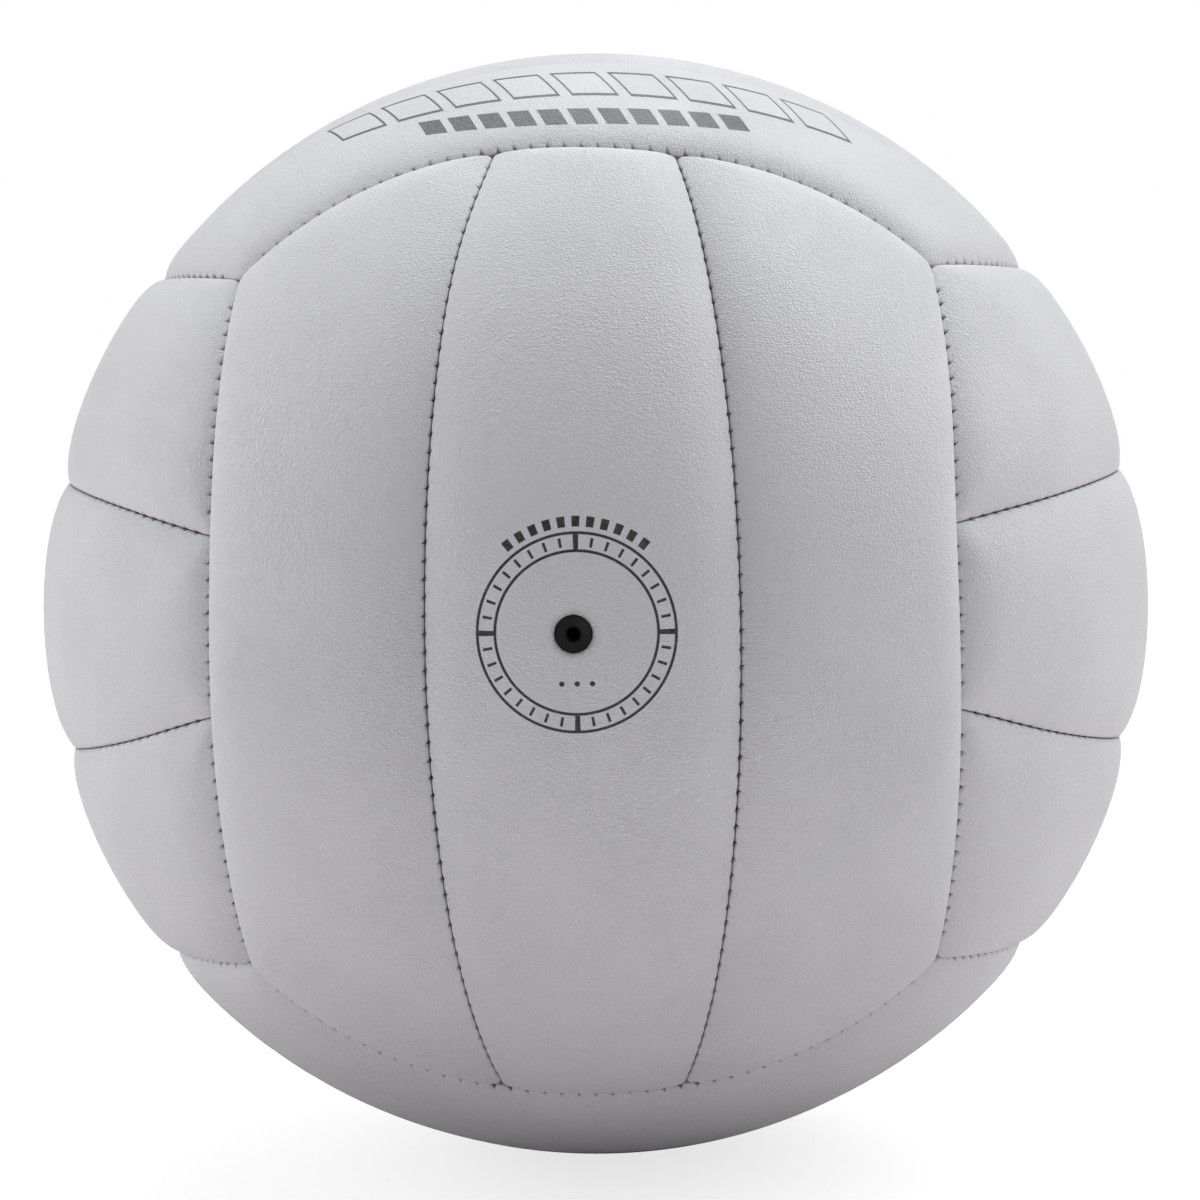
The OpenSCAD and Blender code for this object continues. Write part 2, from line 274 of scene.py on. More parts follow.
class Flow:
    """A socket of a node tree, on which sums are written as Python expressions."""

    def __init__(self, graph, socket):
        self.graph = graph
        self.socket = socket

    __add__ = one_sum("ADD")
    __radd__ = one_sum("ADD", swapped=True)
    __sub__ = one_sum("SUBTRACT")
    __rsub__ = one_sum("SUBTRACT", swapped=True)
    __mul__ = one_sum("MULTIPLY")
    __rmul__ = one_sum("MULTIPLY", swapped=True)
    __truediv__ = one_sum("DIVIDE")
    __abs__ = one_sum("ABSOLUTE")
    root = one_sum("SQRT")
    exp = one_sum("EXPONENT")
    sine = one_sum("SINE")
    arcsine = one_sum("ARCSINE")
    turn = one_sum("ARCTAN2")
    floor = one_sum("FLOOR")
    least = one_sum("MINIMUM")
    most = one_sum("MAXIMUM")

    def maths(self, operation, *values):
        return self.graph.add("ShaderNodeMath", {"operation": operation}, dict(enumerate(values)))

    def vector(self, operation, *others, out=0):
        inputs = dict(enumerate((self, *others)))
        return self.graph.add("ShaderNodeVectorMath", {"operation": operation}, inputs, out)

    def scaled(self, size):
        return self.graph.add("ShaderNodeVectorMath", {"operation": "SCALE"}, {0: self, "Scale": size})

    def __neg__(self):
        return self * -1

    def squared(self):
        return self * self

    def fading(self, run):
        """1 at zero, falling off over the run."""
        return (-(self / run)).exp()

    def bell(self, width):
        """1 at zero, falling off on both sides."""
        return (-(self / width).squared()).exp()

    def nearest(self, step):
        """Distance to the nearest whole multiple of the step."""
        return self.maths("PINGPONG", self, step / 2)

    def smooth(self, low, high, start=0, end=1):
        """Runs smoothly from start to end as the value goes from low to high."""
        return self.graph.add(
            "ShaderNodeMapRange",
            {"interpolation_type": "SMOOTHSTEP"},
            {"Value": self, "From Min": low, "From Max": high, "To Min": start, "To Max": end},
        )

    def inside(self, limit, soft):
        """1 where the value is under the limit, with a soft edge."""
        return self.smooth(limit - soft, limit + soft, 1, 0)

    def parts(self):
        split = self.graph.add("ShaderNodeSeparateXYZ", {}, {0: self})
        return [Flow(self.graph, out) for out in split.socket.node.outputs]


class Graph:
    """Builds the nodes of one tree."""

    def __init__(self, tree):
        self.tree = tree

    def add(self, kind, settings=None, inputs=None, out=0):
        """Adds a node, makes its settings, then fills its sockets, and gives one of its outputs."""
        node = self.tree.nodes.new(kind)
        for name, value in (settings or {}).items():
            setattr(node, name, value)
        for name, value in (inputs or {}).items():
            if isinstance(value, Flow):
                self.tree.links.new(value.socket, node.inputs[name])
            else:
                node.inputs[name].default_value = value
        return Flow(self, node.outputs[out])

    def mix(self, amount, first, second):
        """Mixes two colours."""
        shades = [v if isinstance(v, Flow) else (*v, 1) for v in (first, second)]
        return self.add("ShaderNodeMix", {"data_type": "RGBA"}, {0: amount, 6: shades[0], 7: shades[1]}, 2)

    def join(self, x, y, z=0):
        return self.add("ShaderNodeCombineXYZ", {}, {0: x, 1: y, 2: z})

    def noise(self, place, scale, detail=2):
        return self.add(
            "ShaderNodeTexNoise", {}, {"Vector": place, "Scale": scale, "Detail": detail, "Roughness": 0.5}
        )

    def place(self):
        """Place on the ball."""
        return self.add("ShaderNodeTexCoord", {}, {}, "Object")

    def fact(self, name, out="Fac"):
        """What the points of a piece say of themselves."""
        return self.add("ShaderNodeAttribute", {"attribute_name": name}, {}, out)

    def bump(self, strength, height, relief):
        return self.add("ShaderNodeBump", {}, {"Strength": strength, "Distance": height, "Height": relief})

    def show(self, shader, kind="Material"):
        """Makes a shader the surface of the material or the world."""
        out = self.tree.nodes.new(f"ShaderNodeOutput{kind}")
        self.tree.links.new(shader.socket, out.inputs["Surface"])

    def surface(self, plain, shade, rough, bump):
        """The material's one surface shader: plain numbers on its sockets, and links for what varies."""
        varying = {"Base Color": shade, "Roughness": rough, "Normal": bump}
        self.show(self.add("ShaderNodeBsdfPrincipled", {}, {**plain, **varying}))


class Tree(Graph):
    """A Geometry Nodes tree with named inputs that ends in Realize Instances and Set Material."""

    def __init__(self, name, sizes):
        super().__init__(bpy.data.node_groups.new(name, "GeometryNodeTree"))
        face = self.tree.interface
        kinds = {"Geometry": "Geometry", **dict.fromkeys(sizes, "Float"), "Material": "Material"}
        self.keys = {
            name: face.new_socket(name=name, in_out="INPUT", socket_type=f"NodeSocket{kind}").identifier
            for name, kind in kinds.items()
        }
        face.new_socket(name="Geometry", in_out="OUTPUT", socket_type="NodeSocketGeometry")
        self.start = self.tree.nodes.new("NodeGroupInput")

    def given(self, name):
        return Flow(self, self.start.outputs[name])

    def named(self, name, kind="FLOAT"):
        return self.add("GeometryNodeInputNamedAttribute", {"data_type": kind}, {"Name": name})

    def end(self, geometry):
        real = self.add("GeometryNodeRealizeInstances", {}, {0: geometry})
        made = self.add("GeometryNodeSetMaterial", {}, {"Geometry": real, "Material": self.given("Material")})
        out = self.tree.nodes.new("NodeGroupOutput")
        self.tree.links.new(made.socket, out.inputs[0])
        return self

    def apply(self, piece, values):
        """Runs the tree on a piece and leaves a plain mesh."""
        modifier = piece.modifiers.new("Shape", "NODES")
        modifier.node_group = self.tree
        for name, value in values.items():
            modifier[self.keys[name]] = value
        graph = bpy.context.evaluated_depsgraph_get()
        made = bpy.data.meshes.new_from_object(
            piece.evaluated_get(graph), preserve_all_data_layers=True, depsgraph=graph
        )
        piece.modifiers.clear()
        before = piece.data
        piece.data = made
        bpy.data.meshes.remove(before)
        made.name = piece.name
        made.shade_smooth()


def unit(vectors):
    """The vectors, each made 1 long."""
    return vectors / np.linalg.norm(vectors, axis=-1, keepdims=True)


def turned(group, points):
    """Points of a group's own frame, in the ball's frame."""
    return points @ np.array(GROUPS[group], float)


class Edge:
    """A seam as a circle on the ball of radius 1: its plane's normal points into the panel."""

    def __init__(self, normal, height, middle):
        self.normal = np.array(normal, float)
        self.height = height
        middle = np.array(middle, float)
        self.across = unit(middle - self.normal * (self.normal @ middle))
        self.along = np.cross(self.normal, self.across)
        self.ring = sqrt(1 - height * height)

    def at(self, turn, inset=0.0):
        """Points at these turns from the seam's middle, this angle inside it."""
        turn = np.asarray(turn, float)[..., None]
        lat = asin(self.height) + inset
        flat = np.cos(turn) * self.across + np.sin(turn) * self.along
        return self.normal * sin(lat) + flat * cos(lat)

    def turn(self, points):
        """How far round the seam the points lie, from its middle."""
        return np.arctan2(points @ self.along, points @ self.across)

    def inset(self, points):
        """How far inside the seam the points lie, as an angle."""
        return np.arcsin(np.clip(points @ self.normal, -1, 1)) - asin(self.height)

    def inward(self, points):
        """Directions on the ball's surface that lead away from the seam."""
        return unit(self.normal - points * (points @ self.normal)[..., None])

    def moved(self, inset):
        """The seam's line, moved this angle inwards."""
        return Edge(self.normal, sin(asin(self.height) + inset), self.across)


def border_rise(shape):
    """Height over the ball's middle of the plane of a seam round a group."""
    return (cos(shape.border_lean) - sin(shape.border_lean)) / sqrt(3)


def strip_edges(shape, side):
    """The four seams of a strip, anticlockwise seen from outside: +X side, +Y end, -X side, -Y end."""
    lean, tilt = shape.border_lean, shape.strip_lean
    rise = border_rise(shape)
    ends = [Edge((0, -s * sin(lean), cos(lean)), rise, (0, s, 0.5)) for s in (1, -1)]
    if side == 0:
        inner = [Edge((-s * cos(tilt), 0, sin(tilt)), 0, (s * sin(tilt), 0, cos(tilt))) for s in (1, -1)]
        return [inner[0], ends[0], inner[1], ends[1]]
    border = Edge((-side * cos(lean), 0, sin(lean)), -rise, (side, 0, 0.5))
    near = Edge((side * cos(tilt), 0, -sin(tilt)), 0, (side * sin(tilt), 0, cos(tilt)))
    first, last = (border, near) if side > 0 else (near, border)
    return [first, ends[0], last, ends[1]]


def meeting(a, b):
    """The point of the ball where two seams cross, on the group's side."""
    d = a.normal @ b.normal
    p = (a.height - d * b.height) / (1 - d * d)
    q = (b.height - d * a.height) / (1 - d * d)
    flat = p * a.normal + q * b.normal
    up = unit(np.cross(a.normal, b.normal)) * sqrt(1 - flat @ flat)
    return flat + up * (1 if (flat + up)[2] > (flat - up)[2] else -1)


class Net:
    """Points of one panel on the ball of radius 1, in its group's frame, and the triangles over them.

    They lie along the edges, at each pitch and some offsets from it, then in loops inside the edges, each
    at its inset and thinned out so many times, and then wide apart over the rest.
    """

    def __init__(self, edges, corners, radius, offsets, levels, spacing, row_end=0.0, hole=None):
        self.edges, self.radius, self.row_end, self.hole = edges, radius, row_end, hole
        self.points, self.facts, self.hole_loops = [], [], []
        self.middle = unit(sum(meeting(edges[i], edges[(i + 1) % 4]) for i in range(4)))
        self.corners = [
            (meeting(edges[i].moved(r / radius), edges[(i + 1) % 4].moved(r / radius)), r)
            for i, r in enumerate(corners)
        ]
        self.stops = [
            (edge.turn(self.corners[i - 1][0]), edge.turn(self.corners[i][0])) for i, edge in enumerate(edges)
        ]
        self.loop = self.add_border(offsets)
        if hole:
            self.add_hole()
        for inset, thin in levels:
            self.add_level(inset, thin, offsets)
        last = levels[-1][0] if levels else 0.0
        self.add_grid(last + spacing / 2, spacing)
        self.points = np.array(self.points)
        self.facts = np.array(self.facts)

    def keep(self, point, inset, i, along, inward, sewn=0.0):
        """Keeps a point, and what is known of it beside its edge i."""
        self.points.append(point)
        self.facts.append((inset, i, along, *inward, sewn))

    def keep_free(self, point, gaps):
        """Keeps a point beside the nearest of the four edges."""
        i = int(np.argmin(gaps))
        edge = self.edges[i]
        self.keep(point, gaps[i], i, edge.turn(point) * self.radius * edge.ring, edge.inward(point))

    def gaps(self, point):
        """Distances of a point from the four edges."""
        return [e.inset(point) * self.radius for e in self.edges]

    def turns(self, i, offsets):
        """Turns along an edge at which its points lie, in the panel's own order."""
        step = self.radius * self.edges[i].ring
        low, high = sorted(self.stops[i])
        pitch, shifts = offsets
        counts = range(int(low * step / pitch) - 1, int(high * step / pitch) + 2)
        places = [k * pitch + shift for k in counts for shift in shifts]
        kept = sorted(p / step for p in places if low * step + END_GAP < p < high * step - END_GAP)
        return kept if self.stops[i][0] < self.stops[i][1] else kept[::-1]

    def add_edge_point(self, i, turn, inset):
        """Adds a point beside an edge, sewn unless it is near the ends of the row of stitches."""
        edge = self.edges[i]
        step = self.radius * edge.ring
        point = edge.at(turn, inset / self.radius)
        low, high = sorted(self.stops[i])
        sewn = min(turn - low, high - turn) * step > self.row_end
        self.keep(point, inset, i, turn * step, edge.inward(point), float(sewn))

    def add_arc(self, i, inset, count=0):
        """The rounded corner after an edge, at this inset."""
        centre, r = self.corners[i]
        first, second = self.edges[i], self.edges[(i + 1) % 4]
        a = first.at(first.turn(centre)) - centre
        b = second.at(second.turn(centre)) - centre
        a, b = (unit(v - centre * (v @ centre)) for v in (a, b))
        sweep = acos(np.clip(a @ b, -1, 1))
        side = unit(b - a * (a @ b))
        spacing = 0.4 * MM
        count = count or max(4, ceil(r * sweep / spacing))
        for k in range(count + 1):
            w = sweep * k / count
            out = a * cos(w) + side * sin(w)
            point = unit(centre + out * (r - inset) / self.radius)
            edge, j = (first, i) if k <= count / 2 else (second, (i + 1) % 4)
            self.keep(point, inset, j, edge.turn(point) * self.radius * edge.ring, -out)

    def add_border(self, offsets):
        """The outline, with rounded corners, as a closed loop."""
        for i in range(4):
            for turn in self.turns(i, offsets):
                self.add_edge_point(i, turn, 0.0)
            self.add_arc(i, 0.0)
        return list(range(len(self.points)))

    def add_level(self, inset, thin, offsets):
        """A loop further in, with every so many of the outline's points."""
        spacing = 0.45 * MM * thin
        beside_next = inset + 0.25 * MM * thin
        for i, edge in enumerate(self.edges):
            r = max(self.corners[i][1], self.corners[i - 1][1])
            low, high = sorted(self.stops[i])
            rest = END_GAP * thin / (self.radius * edge.ring)
            for turn in self.turns(i, offsets)[::thin]:
                gaps = self.gaps(edge.at(turn, inset / self.radius))
                beside = min(gaps[:i] + gaps[i + 1:])
                clear = inset >= r or low + rest < turn < high - rest
                if beside > beside_next and clear:
                    self.add_edge_point(i, turn, inset)
            r = self.corners[i][1]
            if inset < r - 0.3 * MM:
                self.add_arc(i, inset, max(3, ceil((r - inset) / spacing)))

    def add_grid(self, clear, spacing):
        """Wide-spaced points over the panel's middle."""
        x, y = self.chart_axes()
        steps = np.arange(-1.0, 1.0, spacing / self.radius)
        for row, v in enumerate(steps):
            for u in steps + (row % 2) * spacing / self.radius / 2:
                r = sqrt(u * u + v * v)
                if r >= 1.0:
                    continue
                shrink = sin(r) / r if r > 1e-9 else 1.0
                point = self.middle * cos(r) + (x * u + y * v) * shrink
                gaps = self.gaps(point)
                if min(gaps) >= clear and not self.near_hole(point, spacing / 2):
                    self.keep_free(point, gaps)

    def near_hole(self, point, clear):
        """Whether a point is this near to the loops round the hole, or inside them."""
        return self.hole and np.linalg.norm(point - self.hole[0]) * self.radius < self.hole[2] + clear

    def add_hole(self):
        """Loops of points round a hole: its middle, its radius, where the loops end."""
        middle, r, end = self.hole
        x = unit(np.cross((0, 1, 0), middle))
        y = np.cross(middle, x)
        for reach in (*(r + away * MM for away in HOLE_LOOPS), end):
            start = len(self.points)
            for k in range(HOLE_POINTS):
                w = tau * k / HOLE_POINTS
                point = unit(middle + (x * cos(w) + y * sin(w)) * reach / self.radius)
                self.keep_free(point, self.gaps(point))
            self.hole_loops.append(list(range(start, start + HOLE_POINTS)))

    def chart_axes(self):
        """Directions along which the chart's two numbers grow."""
        x = unit(np.cross((0, 1, 0), self.middle))
        return x, np.cross(self.middle, x)

    def chart(self, points):
        """The points laid flat round the panel's middle, in metres."""
        x, y = self.chart_axes()
        away = np.arccos(np.clip(points @ self.middle, -1, 1))
        flat = points - (points @ self.middle)[:, None] * self.middle
        size = np.maximum(np.linalg.norm(flat, axis=1), 1e-12)
        scale = away / size * self.radius
        return np.stack([flat @ x * scale, flat @ y * scale], 1)

    def triangles(self, points, loop, hole=None):
        """Triangles over the points, inside the loop and outside the hole."""
        flat = self.chart(points) / MM
        rings = [loop] + ([hole] if hole else [])
        lines = [(ring[k], ring[(k + 1) % len(ring)]) for ring in rings for k in range(len(ring))]
        found = delaunay_2d_cdt([Vector(p) for p in flat], lines, [], 1, 1e-6)
        origin = [o[0] for o in found[3]]
        faces = np.array([[origin[v] for v in f] for f in found[2]])
        if hole:
            centre = points[hole].mean(0)
            reach = np.linalg.norm(points[hole] - centre, axis=1).min()
            middles = points[faces].mean(1)
            faces = faces[np.linalg.norm(middles - centre, axis=1) > reach * 0.999]
        return faces

    def skin(self):
        """The triangles over all the net's own points."""
        return self.triangles(self.points, self.loop, self.hole_loops[0] if self.hole else None)


class Strip(NamedTuple):
    """One of the eighteen strips: its rank, its group, its side along the group's X, and its name."""

    rank: int
    group: str
    side: int
    name: str


def strips():
    """The ball's eighteen strips, three for each group."""
    found = [
        (group, side, f"{group}_{name}")
        for group, (low, high) in SIDES.items()
        for side, name in ((-1, low), (0, "centre"), (1, high))
    ]
    return [Strip(rank, *strip) for rank, strip in enumerate(found)]


def crispness(strip):
    """How crisp a strip's four edges are: 1 lies over its neighbour, 0 dips and shows the stitches."""
    ends = 1.0 if strip.group == "front" else 0.0
    if strip.side == 0:
        return [0.5, ends, 0.5, ends]
    border = 0.0 if strip.group in ("top", "bottom") and strip.side < 0 else 1.0
    return [border, ends, 0.5, ends] if strip.side > 0 else [0.5, ends, border, ends]


def bells(points, places, reach):
    """How near the points of the ball are to each of some places: 1 there, falling off over the reach."""
    centres = unit(np.array(places, float))
    away = ((points[:, None] - centres) ** 2).sum(2)
    return np.exp(-away / np.asarray(reach) ** 2)


def sinking(net, points, strip, shape, more=0.0):
    """Share of the valley's depth at each point: the deepest of its four seams' valleys, smoothly joined."""
    sharpness = 5
    total = np.zeros(len(points))
    for edge, crisp in zip(net.edges, crispness(strip)):
        deep, wide, _ = CRISPNESS[crisp]
        gap = edge.inset(points) * net.radius + more
        total += (deep * np.exp(-gap / (shape.valley_run * wide))) ** sharpness
    places, gains, reaches = zip(*SAGS)
    return total ** (1 / sharpness) * (1 + bells(turned(strip.group, points), places, reaches) @ gains)


def gap_to_edges(net, points, run):
    """Smooth distance to the nearest seams, which counts both near a corner."""
    gaps = np.stack([e.inset(points) * net.radius for e in net.edges], 1)
    return -run * np.log(np.exp(-gaps / run).sum(1))


def band(first, second):
    """Four-sided faces between two closed loops of equal length, facing away from the panel."""
    count = len(first)
    return [(first[k], second[k], second[(k + 1) % count], first[(k + 1) % count]) for k in range(count)]


def warp(points):
    """The sewing's own unevenness: slides points of the ball sideways, near a few places."""
    places, slips = zip(*SLIPS)
    return unit(points + bells(points, places, SLIP_REACH) @ np.array(slips) * MM / BALL_RADIUS)


def new_piece(name, vertices, faces, facts=None, lines=()):
    """A mesh object with its facts stored on its points."""
    mesh = bpy.data.meshes.new(name)
    mesh.from_pydata(np.asarray(vertices).tolist(), lines, [list(map(int, f)) for f in faces])
    for key, values in (facts or {}).items():
        values = np.asarray(values)
        wide = values.ndim == 2
        kind = "FLOAT_VECTOR" if wide else "BOOLEAN" if values.dtype == bool else "FLOAT"
        layer = mesh.attributes.new(key, kind, "POINT")
        values = values if kind == "BOOLEAN" else values.astype(np.float32)
        layer.data.foreach_set("vector" if wide else "value", values.ravel())
    mesh.update()
    piece = bpy.data.objects.new(name, mesh)
    bpy.context.scene.collection.objects.link(piece)
    return piece


def finish_piece(piece, material, node):
    """Gives a piece its finish and its body, and hides the node that it stands for."""
    if not piece.data.materials:
        piece.data.materials.append(material)
    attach(piece, "root")
    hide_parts(node)


def new_material(name):
    """A material without nodes, and the graph that fills it."""
    material = bpy.data.materials.new(name)
    material.use_nodes = True
    material.node_tree.nodes.clear()
    return material, Graph(material.node_tree)


def valve_marks(place, valve):
    """Two rings round the valve with ticks between them, dots and dashes, and rubber dust at the hole."""
    x, _, z = place.parts()
    rim = ((x - valve.offset).squared() + z.squared()).root() - valve.hole
    dust = rim.most(0).fading(0.4 * MM) * place.graph.noise(place, 3500).smooth(0.3, 0.65, 0.35, 0.95)
    x = x - valve.ring_x
    z = z - valve.ring_z
    away = (x.squared() + z.squared()).root()
    turn = x.turn(z)
    soft = 0.05 * MM
    half = valve.line / 2
    between = (valve.outer_ring + valve.inner_ring) / 2
    arc = valve.outer_ring + 1.8 * MM

    def ring(radius, tall):
        return abs(away - radius).inside(tall, soft)

    def ticks(radius, step, tall, wide):
        """Ticks this far apart on a ring, by half their height and half their width."""
        return ring(radius, tall) * (turn * radius).nearest(step).inside(wide, soft)

    marks = ring(valve.outer_ring, half).most(ring(valve.inner_ring, half))
    marks = marks.most(ticks(between, tau * between / 36, 0.75 * MM, half))
    marks = marks.most(ticks(between, tau * between / 4, 1.4 * MM, half * 1.8))
    dashes = ticks(arc, 2.3 * MM, 0.85 * MM, 0.62 * MM) * abs(turn).inside(radians(40.5), 0.01)
    dots = (x.nearest(2.4 * MM).squared() + (z + 8 * MM).squared()).root().inside(0.42 * MM, soft)
    return marks.most(dashes).most(dots * abs(x).inside(3.4 * MM, soft)).most(dust)


def top_marks(place, shape):
    """An outlined row of slanting blocks, and a solid row of smaller ones, that follow the seam."""
    lean = shape.border_lean
    x, _, _ = place.parts()
    height = place.vector("NORMALIZE").vector("DOT_PRODUCT", (0, cos(lean), sin(lean)), out=1)
    up = (height.arcsine() + asin(border_rise(shape))) * shape.radius
    soft = 0.08 * MM
    line = 0.42 * MM
    bow = x.squared()

    def row(height, bend, step, tall, wide, line=0):
        """A row of slanting blocks, by half their height and half their width, less a line all round."""
        over = up - (height + bow * bend)
        along = x + over * 0.35
        block = abs(over).inside(tall - line * 2.6, soft) * along.nearest(step).inside(wide - line, soft)
        return along, block

    large = (19.5 * MM, 3.6, 10.2 * MM, 6.4 * MM, 4.1 * MM)
    along, outer = row(*large)
    _, inner = row(*large, line)
    outline = (outer - inner) * abs(along).inside(large[2] * 4.5, soft)
    along, solid = row(5.4 * MM, 6.6, 5.2 * MM, 2.6 * MM, 1.9 * MM)
    return outline.most(solid * abs(along).inside(28.6 * MM, soft))


def leather_material(name, look, shape, marks=None, ink=None):
    """White pebbled leather, darkened deep in the seams by dirt and painted shade, with printed marks if
    there are any.
    """
    material, graph = new_material(name)
    place = graph.place()
    chart = graph.fact("chart", "Vector")
    u, v, panel = chart.parts()
    panel = panel * 40
    sway = graph.noise(chart, 420, 1)
    wavy = graph.join(u / (look.grain * 1.3) + sway * 0.7, v / look.grain + sway * 0.9, panel)
    cell = graph.add(
        "ShaderNodeTexVoronoi",
        {"feature": "DISTANCE_TO_EDGE"},
        {"Vector": wavy, "Scale": 1.0, "Randomness": 0.9},
    )
    pebble = cell.smooth(0.0, 0.32)
    fine = graph.noise(graph.join(u * 1500, v * 2300, panel), 1.0)
    patch = graph.noise(chart, 55, 3)
    pores = graph.noise(graph.join(u * 1150, v * 1500, panel), 1.0, 1)
    height = pebble * patch.smooth(0.3, 0.7, 0.45, 0.85) + pores * 0.9 + fine * 1.1
    mottle = graph.noise(place, 24, 3).smooth(0.35, 0.7)
    shade = graph.mix(mottle * 0.8, look.white[:], look.shade[:])
    # Painted shade: the hollows between the pebbles are darkened towards the crease colour
    shade = graph.mix((1 - pebble) * 0.45, shade, look.crease_shade[:])
    # Dirt and painted shade in the nicks, and a thin dark line along each seam; the nicks are darkened less
    # towards the top, where light falls straight into them, which is painted light
    rise = place.parts()[2] / shape.radius
    dirt_and_shade = graph.fact("nick").smooth(0.1, 0.4, 0, 0.92) * rise.smooth(0.63, 0.78, 1, 0.6)
    dirt_and_shade = (graph.fact("inset").fading(0.06 * MM) * 0.5).most(dirt_and_shade)
    shade = graph.mix(dirt_and_shade, shade, look.grime_and_shade[:])
    rough = look.roughness + (1 - pebble) * 0.12 + mottle * 0.05
    if marks:
        worn = graph.noise(place, 2400, 1).smooth(0.28, 0.42)
        mask = marks(place) * (worn * 0.08 + 0.92)
        shade = graph.mix(mask, shade, ink)
        rough = rough - mask * 0.12
    plain = {"Specular IOR Level": 0.75, "Sheen Weight": 0.05, "Sheen Roughness": 0.5}
    graph.surface(plain, shade, rough, graph.bump(0.9, look.grain_height, height))
    return material


def foam_material():
    """Closed-cell foam with a pitted skin."""
    material, graph = new_material("foam")
    place = graph.place()
    pits = graph.add("ShaderNodeTexVoronoi", {"feature": "F1"}, {"Vector": place, "Scale": 1500})
    cloud = graph.noise(place, 60, 3)
    height = pits.smooth(0.1, 0.6) + graph.noise(place, 3000, 1) * 0.3
    shade = graph.mix(cloud.smooth(0.3, 0.7), (0.72, 0.72, 0.74), (0.62, 0.62, 0.65))
    bump = graph.bump(0.6, 0.1 * MM, height)
    graph.surface({"Specular IOR Level": 0.3}, shade, 0.75 + cloud * 0.15, bump)
    return material


def cloth_material(name, first, second, step, charted=True):
    """Plain-woven cloth, on the panel's own chart or upright on a face of the ball."""
    material, graph = new_material(name)
    chart = graph.fact("chart", "Vector") if charted else graph.place()
    u, second_part, third_part = chart.parts()
    v = second_part if charted else third_part
    weave = [1 - (yarn.nearest(step) / (step / 2)).squared() for yarn in (u, v)]
    over = ((u / step).floor() + (v / step).floor()).nearest(2)
    height = weave[0] * over + weave[1] * (1 - over)
    shade = graph.mix(graph.noise(chart, 240).smooth(0.3, 0.7), first, second)
    bump = graph.bump(0.7, 0.12 * MM, height)
    graph.surface({"Specular IOR Level": 0.2, "Sheen Weight": 0.2}, shade, 0.8 + height * 0.1, bump)
    return material


def thread_material():
    """Twisted polyester thread, grey and soiled."""
    material, graph = new_material("thread")
    place = graph.place()
    x, y, z = place.parts()
    twist = ((x + y * 0.7 + z * 0.9) * 4200).sine()
    fluff = graph.noise(place, 1800)
    shade = graph.mix(twist.smooth(-1, 1) * 0.6 + fluff * 0.4, (0.34, 0.33, 0.33), (0.62, 0.61, 0.61))
    bump = graph.bump(0.7, 0.08 * MM, twist + fluff)
    graph.surface({"Specular IOR Level": 0.35}, shade, 0.6 + fluff * 0.2, bump)
    return material


def rubber_material(name, base, dust):
    """Dull moulded rubber with a little dust."""
    material, graph = new_material(name)
    place = graph.place()
    cloud = graph.noise(place, 260, 3)
    grit = graph.noise(place, 2800)
    shade = graph.mix(cloud.smooth(0.45, 0.75) * 0.5, base, dust)
    bump = graph.bump(0.5, 0.05 * MM, grit + cloud)
    graph.surface({"Specular IOR Level": 0.35}, shade, 0.55 + grit * 0.25, bump)
    return material


# The sizes that the rule of a panel's surface is given, by their property groups
PANEL_SIZES = {
    "volleyball_shape": ("radius", "valley", "crown", "crown_run", "lip", "lip_run", "edge_depth"),
    "volleyball_sewing": (
        "pitch", "hole_depth", "hole_width", "hole_reach", "slant", "opening", "pucker", "pucker_reach",
        "seed",
    ),
}
# Where a panel's facts lie among the columns that are kept for its points
COLUMNS = {
    "inset": 0, "seam": 1, "along": 2, "inward": slice(3, 6), "sewn": 6, "outer": 7, "wall": 8, "under": 9,
}


